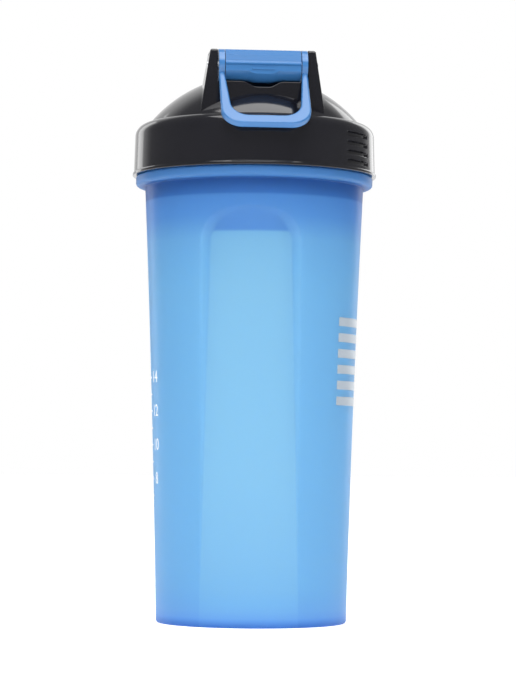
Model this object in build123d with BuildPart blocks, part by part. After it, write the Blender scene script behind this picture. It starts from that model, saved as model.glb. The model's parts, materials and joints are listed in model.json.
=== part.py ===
from build123d import *
import os
from math import acos, cos, degrees, radians, sin, sqrt, tan

os.makedirs("parts", exist_ok=True)

# A 28 oz (0.83 l) shaker bottle: cup, screw lid with flip cap and carry loop, seal and strainer.
# Millimetres. +Z is up and the origin is the middle of the base. The hinge is at -Y, the spout at +Y.

# ------------------------------------------------------------------ shared by all the pieces
overshoot = 1.0              # how far a cutting shape runs past what it cuts
pick_margin = 0.5            # how far from a face the edges to be rounded are looked for
height_tolerance = 0.01

# ------------------------------------------------------------------ driving dimensions: cup
rim_height = 194.5
wall = 1.8
floor_thickness = 2.0
foot_recess = 1.2            # how far the middle of the base stands off the table
foot_inner_radius = 30.0
foot_outer_radius = 36.7
base_radius = 37.9           # of the body, just above the rounded base edge
base_edge_height = 1.2
waist_radius = 39.9
waist_height = 76.0
shoulder_radius = 43.7       # of the body, just under the flange
flange_bottom = 173.4
flange_top = 177.5
flange_radius = 47.4
flange_edge_radius = 1.4
flange_draft = 0.3           # the flange's underside rises this much, its top edge is cut by as much
rim_chamfer = 0.5
neck_radius = 43.2
mouth_radius = 41.4          # inside of the neck
mouth_bottom = 165.0         # below this the inside follows the body
floor_top = foot_recess + floor_thickness
floor_corner_radius = 4.2    # inside, between the floor and the wall

# grip panels, pressed into the front and the back of the body
cup_turn = 6.8               # how far the cup stands turned under the lid when the thread is tight
panel_top = 153.0            # where the ramp meets the panel
ramp_height = 10.0
panel_bottom = 20.0
panel_radius_top = 39.4
panel_radius_bottom = 38.15
ramp_radius_gain = 3.8
side_edge_half_width = 19.4  # half width of the panel's outline on the body, near its top
side_edge_depth = 38.1       # how far that edge is from the middle of the bottle
side_slope = 1.85            # width gained per millimetre outwards
side_spread = 0.067          # width gained per millimetre downwards
top_slope = 1.2              # height gained per millimetre outwards
panel_near = 34.0            # the panel's outlines are drawn this far out, inside the body...
panel_far = 46.0             # ...and out here, beyond it
panel_corner_near = 0.6      # radius of the panel's upper corners at panel_near
panel_corner_growth = 1.9    # radius gained per millimetre outwards
panel_margin = 8.0           # the outlines run this far past the panel's foot
bulge_inset = 1.07 * wall    # inside the body each panel stands in by this much
bulge_grow = 1.3 * wall      # and is wider by this much, so that the wall keeps its thickness
beyond_body = 60.0           # a radius clear of everything

# ------------------------------------------------------------------ driving dimensions: thread
thread_pitch = 5.0
thread_turns = 1.25
thread_start = 183.0         # height of the cup ridge's first point
thread_root_width = 2.7
thread_crest_width = 1.2
cup_thread_radius = 44.5     # over the cup's ridge
lid_thread_radius = 43.6     # inside the lid's ridge
lid_thread_drop = 2.1        # the lid's ridge runs this far under the cup's
thread_root_overlap = 0.3    # how deep a ridge reaches into its wall

# ------------------------------------------------------------------ driving dimensions: lid
skirt_bottom = 177.8
skirt_inner_radius = 44.9
lip_radius = 48.8
lip_height = 1.0
lip_step_height = 0.4        # slope between the lip and the ring
ring_radius_bottom = 48.3
ring_radius_top = 47.9
ring_corner_radius = 4.8
seal_seat_height = 196.2
collar_outer_radius = 39.2
collar_inner_radius = 37.4
collar_bottom = 187.0
dome_centre_height = 164.4
dome_radius = 54.46
dome_wall = 2.2
dome_foot_radius = 42.6      # where the dome meets the shoulder of the ring

# grooved grips on the lid's ring
grip_angles = (-37.0, 143.0)
grip_arc = 19.0
groove_heights = (181.3, 184.9, 188.5, 192.1)
groove_width = 1.7
groove_depth = 0.9

# spout
spout_y = 28.0
spout_radius = 9.0
spout_bore_radius = 6.5
spout_top = 221.3
spout_edge_radius = 0.9

# ------------------------------------------------------------------ driving dimensions: hinge
hinge_y = -31.0
hinge_height = 218.3
pin_radius = 1.5
pin_running_clearance = 0.06
pin_half_length = 21.8
pin_edge_radius = 0.4
rear_plane_y = -34.0         # flat back of the hinge cheeks and of the wall between them
cheek_inner_x = 17.6
cheek_top_x = 20.65
cheek_foot_x = 25.0
cheek_foot_height = 195.0
cheek_front_y = -14.0        # the cheeks run forward into the dome as far as this
cheek_front_angle = 35.0     # above level, where the straight front edge leaves the knuckle
cheek_front_run = 12.0
cheek_depth = 25.0           # below the pin
cheek_crown_margin = 0.8     # the rounded upper corner starts this far above the knuckle
cheek_crown_radius = 2.6
cheek_edge_radius = 0.7
knuckle_radius = 6.2         # cheeks and barrel, about the pin
barrel_half_width = 14.75
lobe_radius = 6.8            # the barrel's thumb lobe
lobe_barrel_inset = 0.2      # the lobe grows out of a barrel this far inside the cap's own
lobe_front = 0.5             # the lobe reaches this far in front of the pin
lobe_flat_half_width = 2.4
lobe_half_width = 7.7
barrel_channel_radius = 7.0
lobe_channel_radius = 9.0
channel_step = 0.3           # the channel's lobe is this much wider than the barrel's
hinge_wall_front_y = -24.0
hinge_wall_top = 212.2

# ------------------------------------------------------------------ driving dimensions: loop
loop_angle = 40.1            # between the loop and straight down, when it rests on the lid
loop_half_width = 17.3
loop_eye_inner_x = 15.05
loop_eye_radius = 6.1
loop_thickness = 3.0
loop_length = 34.3
loop_bar_width = 4.6
loop_outer_corner = 8.0
loop_inner_corner = 7.0
loop_foot_inner_x = 13.0
loop_edge_radius = 0.8

# ------------------------------------------------------------------ driving dimensions: cap
arm_half_width = 11.5
arm_taper_y = (-28.5, -8.0)  # between these the arm narrows from the barrel's width
arm_crown = (-2.0, 226.1)    # y, z of a point half way along the arm's top
arm_root_y = -22.0           # the underside turns down to the barrel here
arm_underside = 220.3
arm_root_inset = 0.3         # its underside ends this far inside the barrel
cap_top = 227.0
cap_radius = 13.0
cap_bore_radius = 9.6
cap_skirt_bottom = 214.6
cap_ceiling = 223.6
cap_dome_gap = 0.6
cap_waist_radius = 3.0       # where the arm and the tab run into the round cap, seen from above
tab_crown = (43.0, 223.2)    # y, z of a point on the tab's top
tab_hollow = (42.0, 220.3)   # y, z of a point on its underside
tab_tip_y = 52.8
tab_tip_height = 214.5
tab_half_width = 7.5
tab_corner_radius = 4.5
tab_root_step = (6.0, 2.0)   # its root, ahead of the spout's middle and above the arm's underside
tab_lip = (1.4, 1.0)         # how far the tab's blunt tip runs back and up
cap_edge_radius = 1.0
# back of the heel, about the pin: a slope, a steep face, a small ledge and the flat below it
heel_facets = (
    (-2.4, 5.7),
    (-4.9, 3.4),
    (-5.3, 1.0),
    (-6.1, 0.2),
    (-6.1, -0.2),
    (-5.53, -0.6),
    (-5.53, -2.8),
)
heel_bar_length = 9.0        # small raised bar on the flat back of the heel
heel_bar_height = 0.9
heel_bar_drop = -1.9
heel_bar_relief = 0.35
arm_groove_half_width = 7.0  # shallow groove along the top of the arm
arm_groove_depth = 0.7
arm_groove_y = (-20.0, 12.0)

# ------------------------------------------------------------------ driving dimensions: inserts
seal_inner_radius = 39.6
seal_outer_radius = 44.5
seal_bottom = 194.8
seal_top = 195.9
strainer_outer_radius = 41.0
strainer_inner_radius = 39.4
strainer_bottom = 167.0
strainer_top = 194.2
strainer_floor = 1.8
strainer_hole_radius = 2.6
strainer_ring_pitch = 7.6
strainer_rings = 4
plug_radius = 8.7            # a soft ring-shaped pad that closes the spout's rim
plug_recess_radius = 5.0     # the pad is thinner inside this
plug_recess = 0.7
plug_bottom = 221.7
plug_chamfer = 0.4
seal_edge_radius = 0.3
strainer_edge_radius = 1.2


def dome_arc(radius, foot_radius):
    """Half section of a dome, from its foot up to the Z axis; to be called inside a BuildLine."""
    foot_angle = degrees(acos(foot_radius / radius))
    return CenterArc((0, dome_centre_height), radius, foot_angle, 90 - foot_angle)


def upright_plane(angle):
    """Plane through the Z axis: its X points outwards at this angle from +X, its Y is up."""
    outwards = Vector(cos(radians(angle)), sin(radians(angle)), 0)
    return Plane(origin=(0, 0, 0), x_dir=outwards, z_dir=outwards.cross(Vector(0, 0, 1)))


def facing_plane(angle, distance):
    """Plane that faces outwards at this angle, this far from the Z axis; its Y is up."""
    outwards = Vector(cos(radians(angle)), sin(radians(angle)), 0)
    return Plane(
        origin=outwards * distance, x_dir=Vector(0, 0, 1).cross(outwards), z_dir=outwards
    )


# Plane across the bottle through the hinge pin: X along the pin, Y backwards from it.
hinge_level = Plane(origin=(0, hinge_y, hinge_height), x_dir=(1, 0, 0), z_dir=(0, 0, -1))
hinge_axis = Axis((0, hinge_y, hinge_height), (1, 0, 0))
# Planes whose normal is the pin: X is the bottle's +Y, Y is up, with the pin at the origin.
side_plane = Plane(origin=(0, hinge_y, hinge_height), x_dir=(0, 1, 0), z_dir=(1, 0, 0))
across = Plane(origin=(0, 0, 0), x_dir=(0, 1, 0), z_dir=(1, 0, 0))


def thread_ridge(wall_radius, crest_radius, first_height):
    """Right-hand thread ridge on a wall; a crest inside the wall makes an inner thread."""
    outwards = 1 if crest_radius > wall_radius else -1
    depth = abs(crest_radius - wall_radius)
    root = -outwards * thread_root_overlap
    path = Helix(thread_pitch, thread_pitch * thread_turns, wall_radius, center=(0, 0, first_height))
    with BuildPart() as ridge:
        with BuildSketch(Plane(origin=path @ 0, x_dir=(1, 0, 0), z_dir=path % 0)):
            Polygon(
                (root, -thread_root_width / 2),
                (outwards * depth, -thread_crest_width / 2),
                (outwards * depth, thread_crest_width / 2),
                (root, thread_root_width / 2),
                align=None,
            )
        sweep(path=path, is_frenet=True)
    return ridge.part


def panel_outline(plane, distance, grow):
    """Outline of a grip panel on a plane this far out; its corners are rounder further out."""
    top = panel_top + ramp_height + (distance - shoulder_radius) * top_slope + grow
    half_top = side_edge_half_width + (distance - side_edge_depth) * side_slope + grow
    half_bottom = half_top + (top - panel_bottom) * side_spread
    corner = panel_corner_near + panel_corner_growth * (distance - panel_near)
    with BuildSketch(plane) as outline:
        Polygon(
            (-half_bottom, panel_bottom - panel_margin),
            (half_bottom, panel_bottom - panel_margin),
            (half_top, top),
            (-half_top, top),
            align=None,
        )
        fillet(outline.vertices().group_by(Axis.Y)[-1], corner)
    return outline.sketch


def panel_cutter(angle, inset, grow):
    """What a grip panel takes out of the body; inset and grow move it inwards and widen it."""
    ramp_end = panel_top + 2 * ramp_height
    outlines = [
        panel_outline(facing_plane(angle, distance), distance, grow)
        for distance in (panel_near, panel_far)
    ]
    with BuildPart() as cutter:
        with BuildSketch(upright_plane(angle)):
            Polygon(
                (panel_radius_bottom - inset, panel_bottom),
                (panel_radius_top - inset, panel_top),
                (panel_radius_top - inset + 2 * ramp_radius_gain, ramp_end),
                (beyond_body, ramp_end),
                (beyond_body, panel_bottom),
                align=None,
            )
        revolve(axis=Axis.Z)
        loft(outlines, ruled=True, mode=Mode.INTERSECT)
    return cutter.part


def lobed_barrel(radius, bulge_radius, half_width, bulge_half_width):
    """Round barrel about the hinge pin that swells to a thumb lobe in the middle."""
    with BuildPart() as barrel:
        with BuildSketch(hinge_level):
            with BuildLine():
                Polyline(
                    (-bulge_half_width, radius),
                    (-half_width, radius),
                    (-half_width, 0),
                    (half_width, 0),
                    (half_width, radius),
                    (bulge_half_width, radius),
                )
                Spline(
                    (bulge_half_width, radius),
                    (lobe_flat_half_width, bulge_radius),
                    tangents=((-1, 0), (-1, 0)),
                )
                Line((lobe_flat_half_width, bulge_radius), (-lobe_flat_half_width, bulge_radius))
                Spline(
                    (-lobe_flat_half_width, bulge_radius),
                    (-bulge_half_width, radius),
                    tangents=((-1, 0), (-1, 0)),
                )
            make_face()
        revolve(axis=hinge_axis)
    return barrel.part


panel_angles = (270 - cup_turn, 90 - cup_turn)
panel_cuts = [panel_cutter(angle, 0, 0) for angle in panel_angles]
panel_bulges = [panel_cutter(angle, bulge_inset, bulge_grow) for angle in panel_angles]
cup_thread = thread_ridge(neck_radius, cup_thread_radius, thread_start)
lid_thread = thread_ridge(skirt_inner_radius, lid_thread_radius, thread_start - lid_thread_drop)

# ------------------------------------------------------------------ cup
with BuildPart() as cup_cavity:
    with BuildSketch(Plane.XZ):
        with BuildLine():
            corner_start = (base_radius - wall - floor_corner_radius, floor_top)
            corner_end = (base_radius - wall, floor_top + floor_corner_radius)
            Polyline(
                (mouth_radius, mouth_bottom),
                (mouth_radius, rim_height + overshoot),
                (0, rim_height + overshoot),
                (0, floor_top),
                corner_start,
            )
            RadiusArc(corner_start, corner_end, -floor_corner_radius)
            ThreePointArc(
                corner_end,
                (waist_radius - wall, waist_height),
                (mouth_radius, mouth_bottom),
            )
        make_face()
    revolve(axis=Axis.Z)
    for bulge in panel_bulges:
        add(bulge, mode=Mode.SUBTRACT)

with BuildPart() as cup:
    with BuildSketch(Plane.XZ):
        with BuildLine():
            edge_start = (flange_radius - flange_edge_radius, flange_bottom + flange_draft)
            edge_end = (flange_radius, flange_bottom + flange_draft + flange_edge_radius)
            Line((shoulder_radius, flange_bottom), edge_start)
            RadiusArc(edge_start, edge_end, -flange_edge_radius)
            Polyline(
                edge_end,
                (flange_radius, flange_top - flange_draft),
                (flange_radius - flange_draft, flange_top),
                (neck_radius, flange_top),
                (neck_radius, rim_height - rim_chamfer),
                (neck_radius - rim_chamfer, rim_height),
                (0, rim_height),
                (0, foot_recess),
                (foot_inner_radius - foot_recess, foot_recess),
                (foot_inner_radius, 0),
                (foot_outer_radius, 0),
            )
            RadiusArc(
                (foot_outer_radius, 0),
                (base_radius, base_edge_height),
                -base_edge_height,
            )
            ThreePointArc(
                (base_radius, base_edge_height),
                (waist_radius, waist_height),
                (shoulder_radius, flange_bottom),
            )
        make_face()
    revolve(axis=Axis.Z)
    for cut in panel_cuts:
        add(cut, mode=Mode.SUBTRACT)
    add(cup_cavity.part, mode=Mode.SUBTRACT)
    add(cup_thread)

# ------------------------------------------------------------------ lid
cheek_crown = hinge_height + knuckle_radius + cheek_crown_margin

with BuildPart() as cheek:
    with BuildSketch(Plane.XZ.offset(-cheek_front_y)) as rear_view:
        Polygon(
            (cheek_inner_x, cheek_foot_height),
            (cheek_foot_x, cheek_foot_height),
            (cheek_top_x, cheek_crown),
            (cheek_inner_x, cheek_crown),
            align=None,
        )
        fillet(rear_view.vertices().group_by(Axis.Y)[-1].sort_by(Axis.X)[-1], cheek_crown_radius)
    extrude(amount=cheek_front_y - rear_plane_y)
    with BuildSketch(side_plane):
        with BuildLine():
            back = rear_plane_y - hinge_y
            back_top = sqrt(knuckle_radius**2 - back**2)
            slope = radians(cheek_front_angle)
            front = knuckle_radius * cos(slope)
            front_top = knuckle_radius * sin(slope)
            ThreePointArc((back, back_top), (0, knuckle_radius), (front, front_top))
            Polyline(
                (front, front_top),
                (front + cheek_front_run, front_top - cheek_front_run / tan(slope)),
                (front + cheek_front_run, -cheek_depth),
                (back, -cheek_depth),
                (back, back_top),
            )
        make_face()
    extrude(amount=2 * cheek_foot_x, mode=Mode.INTERSECT)
    outer_edges = cheek.edges().filter_by_position(Axis.X, cheek_inner_x + pick_margin, cheek_foot_x)
    raised_edges = outer_edges.filter_by_position(Axis.Z, cheek_foot_height + pick_margin, cheek_crown)
    fillet(raised_edges, cheek_edge_radius)

channel = lobed_barrel(
    barrel_channel_radius, lobe_channel_radius, cheek_inner_x, lobe_half_width + channel_step
)

with BuildPart() as lid:
    with BuildSketch(Plane.XZ):
        with BuildLine():
            dome = dome_arc(dome_radius, dome_foot_radius)
            shoulder_height = (dome @ 0).Y
            corner_height = shoulder_height - ring_corner_radius
            Polyline(
                dome @ 1,
                (0, skirt_bottom),
                (lip_radius, skirt_bottom),
                (lip_radius, skirt_bottom + lip_height),
                (ring_radius_bottom, skirt_bottom + lip_height + lip_step_height),
                (ring_radius_top, corner_height),
            )
            RadiusArc(
                (ring_radius_top, corner_height),
                (ring_radius_top - ring_corner_radius, shoulder_height),
                -ring_corner_radius,
            )
            Line((ring_radius_top - ring_corner_radius, shoulder_height), dome @ 0)
        make_face()
    revolve(axis=Axis.Z)
    add(cheek.part)
    mirror(cheek.part, about=Plane.YZ)
    with Locations((0, (rear_plane_y + hinge_wall_front_y) / 2, hinge_wall_top)):
        Box(
            2 * cheek_inner_x,
            hinge_wall_front_y - rear_plane_y,
            hinge_wall_top - cheek_foot_height,
            align=(Align.CENTER, Align.CENTER, Align.MAX),
        )
    with Locations((0, spout_y, shoulder_height)):
        Cylinder(
            spout_radius,
            spout_top - shoulder_height,
            align=(Align.CENTER, Align.CENTER, Align.MIN),
        )
    # the hollow under the dome, the seat of the seal and the collar that the strainer clips on
    with BuildSketch(Plane.XZ):
        with BuildLine():
            hollow = dome_arc(dome_radius - dome_wall, collar_inner_radius)
            Polyline(
                hollow @ 1,
                (0, skirt_bottom - overshoot),
                (skirt_inner_radius, skirt_bottom - overshoot),
                (skirt_inner_radius, seal_seat_height),
                (collar_outer_radius, seal_seat_height),
                (collar_outer_radius, collar_bottom),
                (collar_inner_radius, collar_bottom),
                hollow @ 0,
            )
        make_face()
    revolve(axis=Axis.Z, mode=Mode.SUBTRACT)
    with Locations((0, spout_y, shoulder_height)):
        Cylinder(
            spout_bore_radius,
            spout_top - shoulder_height + overshoot,
            align=(Align.CENTER, Align.CENTER, Align.MIN),
            mode=Mode.SUBTRACT,
        )
    spout_rim = lid.edges().filter_by(GeomType.CIRCLE).filter_by_position(
        Axis.Z, spout_top - height_tolerance, spout_top + height_tolerance
    )
    fillet(spout_rim, spout_edge_radius)
    add(channel, mode=Mode.SUBTRACT)
    with BuildSketch(side_plane):
        Circle(pin_radius)
    extrude(amount=cheek_foot_x, both=True, mode=Mode.SUBTRACT)
    for angle in grip_angles:
        with BuildSketch(upright_plane(angle - grip_arc / 2)):
            for height in groove_heights:
                with Locations((ring_radius_bottom, height)):
                    Rectangle(2 * groove_depth, groove_width)
        revolve(axis=Axis.Z, revolution_arc=grip_arc, mode=Mode.SUBTRACT)
    add(lid_thread)

# ------------------------------------------------------------------ hinge pin
with BuildPart() as hinge_pin:
    with BuildSketch(side_plane):
        Circle(pin_radius)
    extrude(amount=pin_half_length, both=True)
    fillet(hinge_pin.edges().filter_by(GeomType.CIRCLE), pin_edge_radius)

# ------------------------------------------------------------------ carry loop
back_and_down = Vector(0, -sin(radians(loop_angle)), -cos(radians(loop_angle)))
loop_plane = Plane(
    origin=(0, hinge_y, hinge_height),
    x_dir=(1, 0, 0),
    z_dir=Vector(1, 0, 0).cross(back_and_down),
)
with BuildPart() as carry_loop:
    with BuildSketch(loop_plane.offset(-loop_thickness / 2)) as loop_outline:
        with Locations((0, loop_length / 2)):
            Rectangle(2 * loop_half_width, loop_length)
        fillet(loop_outline.vertices().group_by(Axis.Y)[-1], loop_outer_corner)
    extrude(amount=loop_thickness)
    with BuildSketch(loop_plane.offset(-loop_thickness / 2)) as finger_gap:
        Polygon(
            (-loop_eye_inner_x, -overshoot),
            (loop_eye_inner_x, -overshoot),
            (loop_eye_inner_x, loop_eye_radius),
            (loop_foot_inner_x, loop_length - loop_bar_width),
            (-loop_foot_inner_x, loop_length - loop_bar_width),
            (-loop_eye_inner_x, loop_eye_radius),
            align=None,
        )
        fillet(finger_gap.vertices().group_by(Axis.Y)[-1], loop_inner_corner)
    extrude(amount=loop_thickness, mode=Mode.SUBTRACT)
    for side in carry_loop.faces().filter_by(Axis(loop_plane.origin, loop_plane.z_dir)):
        fillet(side.edges(), loop_edge_radius)
    for eye_start in (loop_eye_inner_x, -loop_half_width):
        with BuildSketch(side_plane.offset(eye_start)):
            Circle(loop_eye_radius)
        extrude(amount=loop_half_width - loop_eye_inner_x)
    with BuildSketch(side_plane):
        Circle(pin_radius + pin_running_clearance)
    extrude(amount=loop_half_width + overshoot, both=True, mode=Mode.SUBTRACT)

# ------------------------------------------------------------------ flip cap
barrel_top = (hinge_y, hinge_height + knuckle_radius)
heel_back = heel_facets[-1][0]
heel_foot = heel_facets[-1][1]

with BuildPart() as arm_groove:
    with BuildSketch(across):
        with BuildLine():
            groove_start = (barrel_top[0], barrel_top[1] - arm_groove_depth)
            groove_end = (spout_y, cap_top - arm_groove_depth)
            groove_middle = (arm_crown[0], arm_crown[1] - arm_groove_depth)
            ThreePointArc(groove_start, groove_middle, groove_end)
            Polyline(
                groove_end,
                (spout_y, cap_top + cap_radius),
                (hinge_y, cap_top + cap_radius),
                groove_start,
            )
        make_face()
    extrude(amount=barrel_half_width, both=True)
    with BuildSketch(Plane.XY.offset(arm_underside)):
        with Locations((0, sum(arm_groove_y) / 2)):
            SlotOverall(arm_groove_y[1] - arm_groove_y[0], 2 * arm_groove_half_width, rotation=90)
    extrude(amount=cap_radius, mode=Mode.INTERSECT)

# the lower half of the thumb lobe, cut flat at the back in line with the heel
with BuildPart() as thumb_lobe:
    lobe_barrel_radius = knuckle_radius - lobe_barrel_inset
    add(lobed_barrel(lobe_barrel_radius, lobe_radius, barrel_half_width, lobe_half_width))
    with BuildSketch(side_plane):
        Polygon(
            (heel_back, heel_foot),
            (heel_back, heel_foot - lobe_radius),
            (lobe_front, heel_foot - lobe_radius),
            (lobe_front, heel_foot),
            align=None,
        )
    extrude(amount=barrel_half_width, both=True, mode=Mode.INTERSECT)

with BuildPart() as flip_cap:
    with BuildSketch(across):
        with BuildLine():
            tip_top = (tab_tip_y, tab_tip_height + tab_lip[1])
            tip_bottom = (tab_tip_y - tab_lip[0], tab_tip_height)
            tab_root = (spout_y + tab_root_step[0], arm_underside + tab_root_step[1])
            ThreePointArc(barrel_top, arm_crown, (spout_y, cap_top))
            ThreePointArc((spout_y, cap_top), tab_crown, tip_top)
            Line(tip_top, tip_bottom)
            ThreePointArc(tip_bottom, tab_hollow, tab_root)
            Polyline(
                tab_root,
                (spout_y - cap_bore_radius, arm_underside),
                (arm_root_y, arm_underside),
                (hinge_y + knuckle_radius - arm_root_inset, hinge_height),
                (hinge_y, hinge_height),
                barrel_top,
            )
        make_face()
    extrude(amount=barrel_half_width, both=True)
    with BuildSketch(Plane.XY.offset(cap_skirt_bottom - cap_radius)) as plan_view:
        Polygon(
            (-barrel_half_width, hinge_y - knuckle_radius),
            (barrel_half_width, hinge_y - knuckle_radius),
            (barrel_half_width, arm_taper_y[0]),
            (arm_half_width, arm_taper_y[1]),
            (arm_half_width, spout_y),
            (-arm_half_width, spout_y),
            (-arm_half_width, arm_taper_y[1]),
            (-barrel_half_width, arm_taper_y[0]),
            align=None,
        )
        with Locations((0, spout_y)):
            Circle(cap_radius)
        with Locations((0, spout_y)):
            Rectangle(2 * tab_half_width, tab_tip_y - spout_y + overshoot, align=(Align.CENTER, Align.MIN))
        fillet(plan_view.vertices().group_by(Axis.Y)[-1], tab_corner_radius)
        waists = plan_view.vertices().filter_by_position(
            Axis.Y, spout_y - cap_radius, spout_y + cap_radius
        )
        fillet(waists, cap_waist_radius)
    extrude(amount=3 * cap_radius, mode=Mode.INTERSECT)
    top_faces = flip_cap.faces().filter_by(GeomType.CYLINDER).sort_by(SortBy.AREA)[-3:]
    top_faces = top_faces.sort_by(Axis.Z)[-2:]
    rims = [edge for face in top_faces for edge in face.edges()]
    fillet(ShapeList(rims).filter_by(Axis.X, reverse=True), cap_edge_radius)
    add(arm_groove.part, mode=Mode.SUBTRACT)
    with Locations((0, spout_y, cap_skirt_bottom)):
        Cylinder(
            cap_radius,
            cap_ceiling - cap_skirt_bottom,
            align=(Align.CENTER, Align.CENTER, Align.MIN),
        )
        Cylinder(
            cap_bore_radius,
            cap_ceiling - cap_skirt_bottom,
            align=(Align.CENTER, Align.CENTER, Align.MIN),
            mode=Mode.SUBTRACT,
        )
    with Locations((0, 0, dome_centre_height)):
        Sphere(dome_radius + cap_dome_gap, mode=Mode.SUBTRACT)
    with BuildSketch(side_plane):
        with BuildLine():
            Polyline((0, knuckle_radius), *heel_facets)
            ThreePointArc(heel_facets[-1], (0, -knuckle_radius), (knuckle_radius, 0))
            JernArc((knuckle_radius, 0), (0, 1), knuckle_radius, 90)
        make_face()
    extrude(amount=barrel_half_width, both=True)
    add(thumb_lobe.part)
    with BuildSketch(Plane.XZ.offset(-hinge_y - heel_back - heel_bar_relief)):
        with Locations((0, hinge_height + heel_bar_drop)):
            SlotOverall(heel_bar_length, heel_bar_height)
    extrude(amount=2 * heel_bar_relief)
    with BuildSketch(side_plane):
        Circle(pin_radius + pin_running_clearance)
    extrude(amount=barrel_half_width + overshoot, both=True, mode=Mode.SUBTRACT)

# ------------------------------------------------------------------ spout plug
with BuildPart() as spout_plug:
    with BuildSketch(Plane.XZ.offset(-spout_y)):
        Polygon(
            (0, plug_bottom + plug_recess),
            (plug_recess_radius - plug_chamfer, plug_bottom + plug_recess),
            (plug_recess_radius, plug_bottom),
            (plug_radius - plug_chamfer, plug_bottom),
            (plug_radius, plug_bottom + plug_chamfer),
            (plug_radius, cap_ceiling),
            (0, cap_ceiling),
            align=None,
        )
    revolve(axis=Axis((0, spout_y, 0), (0, 0, 1)))

# ------------------------------------------------------------------ lid seal
with BuildPart() as lid_seal:
    with BuildSketch(Plane.XZ) as seal_section:
        with Locations(((seal_inner_radius + seal_outer_radius) / 2, (seal_bottom + seal_top) / 2)):
            Rectangle(seal_outer_radius - seal_inner_radius, seal_top - seal_bottom)
        fillet(seal_section.vertices(), seal_edge_radius)
    revolve(axis=Axis.Z)

# ------------------------------------------------------------------ strainer
with BuildPart() as strainer:
    with Locations((0, 0, strainer_bottom)):
        Cylinder(
            strainer_outer_radius,
            strainer_top - strainer_bottom,
            align=(Align.CENTER, Align.CENTER, Align.MIN),
        )
    fillet(strainer.edges().group_by(Axis.Z)[0], strainer_edge_radius)
    with Locations((0, 0, strainer_bottom + strainer_floor)):
        Cylinder(
            strainer_inner_radius,
            strainer_top,
            align=(Align.CENTER, Align.CENTER, Align.MIN),
            mode=Mode.SUBTRACT,
        )
    with BuildSketch(Plane.XY.offset(strainer_bottom - overshoot)):
        Circle(strainer_hole_radius)
        for ring in range(1, strainer_rings + 1):
            with PolarLocations(ring * strainer_ring_pitch, 6 * ring):
                Circle(strainer_hole_radius)
    extrude(amount=strainer_floor + 2 * overshoot, mode=Mode.SUBTRACT)

# ------------------------------------------------------------------ one file per piece
cup.part.label = "cup"
lid.part.label = "lid"
lid_seal.part.label = "lid_seal"
strainer.part.label = "strainer"
hinge_pin.part.label = "hinge_pin"
flip_cap.part.label = "flip_cap"
spout_plug.part.label = "spout_plug"
carry_loop.part.label = "carry_loop"

export_step(cup.part, "parts/cup.step")
export_step(lid.part, "parts/lid.step")
export_step(lid_seal.part, "parts/lid_seal.step")
export_step(strainer.part, "parts/strainer.step")
export_step(hinge_pin.part, "parts/hinge_pin.step")
export_step(flip_cap.part, "parts/flip_cap.step")
export_step(spout_plug.part, "parts/spout_plug.step")
export_step(carry_loop.part, "parts/carry_loop.step")
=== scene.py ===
import json
import math

import bmesh
import bpy
import numpy as np
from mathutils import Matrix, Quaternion, Vector


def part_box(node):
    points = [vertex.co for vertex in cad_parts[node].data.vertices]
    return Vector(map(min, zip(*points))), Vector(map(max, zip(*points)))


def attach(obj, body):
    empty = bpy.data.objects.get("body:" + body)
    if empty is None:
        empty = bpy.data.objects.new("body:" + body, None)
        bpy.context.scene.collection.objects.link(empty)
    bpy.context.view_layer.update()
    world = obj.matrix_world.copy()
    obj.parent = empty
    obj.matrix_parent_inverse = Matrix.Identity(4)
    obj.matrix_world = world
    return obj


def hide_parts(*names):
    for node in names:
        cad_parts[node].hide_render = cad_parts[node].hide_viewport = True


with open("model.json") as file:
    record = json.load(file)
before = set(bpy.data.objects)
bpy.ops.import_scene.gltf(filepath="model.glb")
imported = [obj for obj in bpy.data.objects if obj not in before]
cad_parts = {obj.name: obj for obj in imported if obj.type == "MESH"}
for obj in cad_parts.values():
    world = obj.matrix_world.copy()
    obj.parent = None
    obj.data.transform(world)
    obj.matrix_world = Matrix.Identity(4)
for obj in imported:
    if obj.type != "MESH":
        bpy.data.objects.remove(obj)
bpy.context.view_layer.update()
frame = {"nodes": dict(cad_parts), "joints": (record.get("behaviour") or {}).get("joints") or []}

# A shaker bottle. Shapes are worked out in millimetres and scaled to metres when a mesh is made.
# Angles are in degrees about the Z axis, from +X. The hinge is at -Y and the spout at +Y.
MM = 0.001

# ------------------------------------------------------------------ places, read from the frame


def span(node):
    """Lowest and highest corner of a CAD node, in millimetres."""
    low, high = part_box(node)
    return low / MM, high / MM


joints = {joint["name"]: joint for joint in frame["joints"]}
hinge = Vector(joints["cap_flip"]["pos_m"]) / MM
cup_high = span("cup")[1]
lid_low, lid_high = span("lid")
strainer_bottom = span("strainer")[0].z

# cup
rim_height = cup_high.z
flange_radius = cup_high.x
wall = 1.8
neck_height = 17.0           # from the flange's top to the rim
flange_thickness = 4.1
flange_reach = 4.2           # how far the flange stands out from the neck
flange_draft = 0.3
flange_root_radius = 0.5
flange_edge_radius = 1.4
flange_top_edge_radius = 0.6
neck_root_radius = 0.4
mouth_drop = 8.4             # how far below the flange the straight mouth ends
shoulder_step = 0.5          # how much wider the body is than the neck
flange_top = rim_height - neck_height
flange_bottom = flange_top - flange_thickness
neck_radius = flange_radius - flange_reach
mouth_radius = neck_radius - wall
mouth_bottom = flange_bottom - mouth_drop
shoulder_radius = neck_radius + shoulder_step
base_radius = 37.9
base_edge_height = 1.2
waist = (39.9, 76.0)
foot_inner_radius = 30.0
foot_outer_radius = 36.7
foot_recess = 1.2
foot_corner_radius = 0.4
floor_top = 3.2
floor_corner_radius = 4.2
rim_radius = 0.5

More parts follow.
